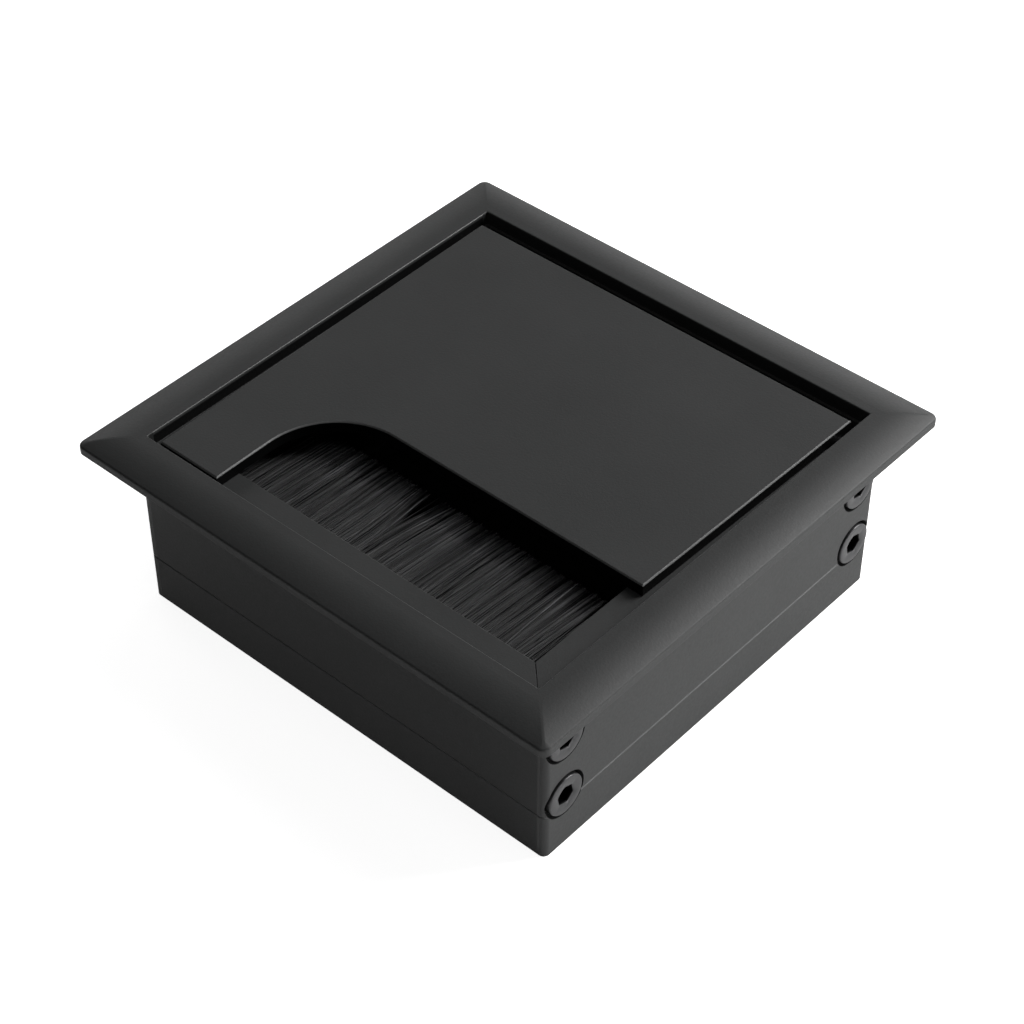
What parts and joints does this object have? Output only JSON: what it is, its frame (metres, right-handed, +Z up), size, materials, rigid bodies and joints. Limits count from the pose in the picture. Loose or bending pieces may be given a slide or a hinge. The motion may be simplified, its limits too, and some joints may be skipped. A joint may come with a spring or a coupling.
{
  "type": "brush cable grommet",
  "caption": "Square desk grommet with a mitred metal frame, a hinged lid with a front cut-out, and a strip brush that cables pass through.",
  "frame": {"origin": "middle of the square body, in the plane of its lower rim", "axes": "+Z up through the lid, -Y toward the brush side, +X toward the right side profile, along which the brush lies"},
  "size_m": [0.0906, 0.0888, 0.0326],
  "materials": {
    "black_coat": "satin black coat on extruded and sheet aluminium",
    "black_screw": "black oxide on steel",
    "pin_steel": "ground steel",
    "channel_strip": "rolled strip, folded",
    "core_wire": "drawn wire",
    "bristle_fibre": "black nylon bristles"
  },
  "bodies": {
    "frame": {"frame_front": "black_coat", "frame_back": "black_coat", "frame_left": "black_coat", "frame_right": "black_coat", "screw_right_front_lower": "black_screw", "screw_right_front_upper": "black_screw", "screw_right_back_lower": "black_screw", "screw_right_back_upper": "black_screw", "screw_left_front_lower": "black_screw", "screw_left_front_upper": "black_screw", "screw_left_back_lower": "black_screw", "screw_left_back_upper": "black_screw", "hinge_pin_right": "pin_steel", "hinge_pin_left": "pin_steel", "brush_channel": "channel_strip", "brush_core_wire": "core_wire", "brush_bristles": "bristle_fibre"},
    "lid": {"lid": "black_coat"}
  },
  "joints": [
    {"name": "lid_hinge", "type": "hinge", "parent": "frame", "child": "lid", "pos_m": [0, 0.032, 0.029], "axis": [-1, 0, 0], "range_deg": [0, 108]}
  ]
}
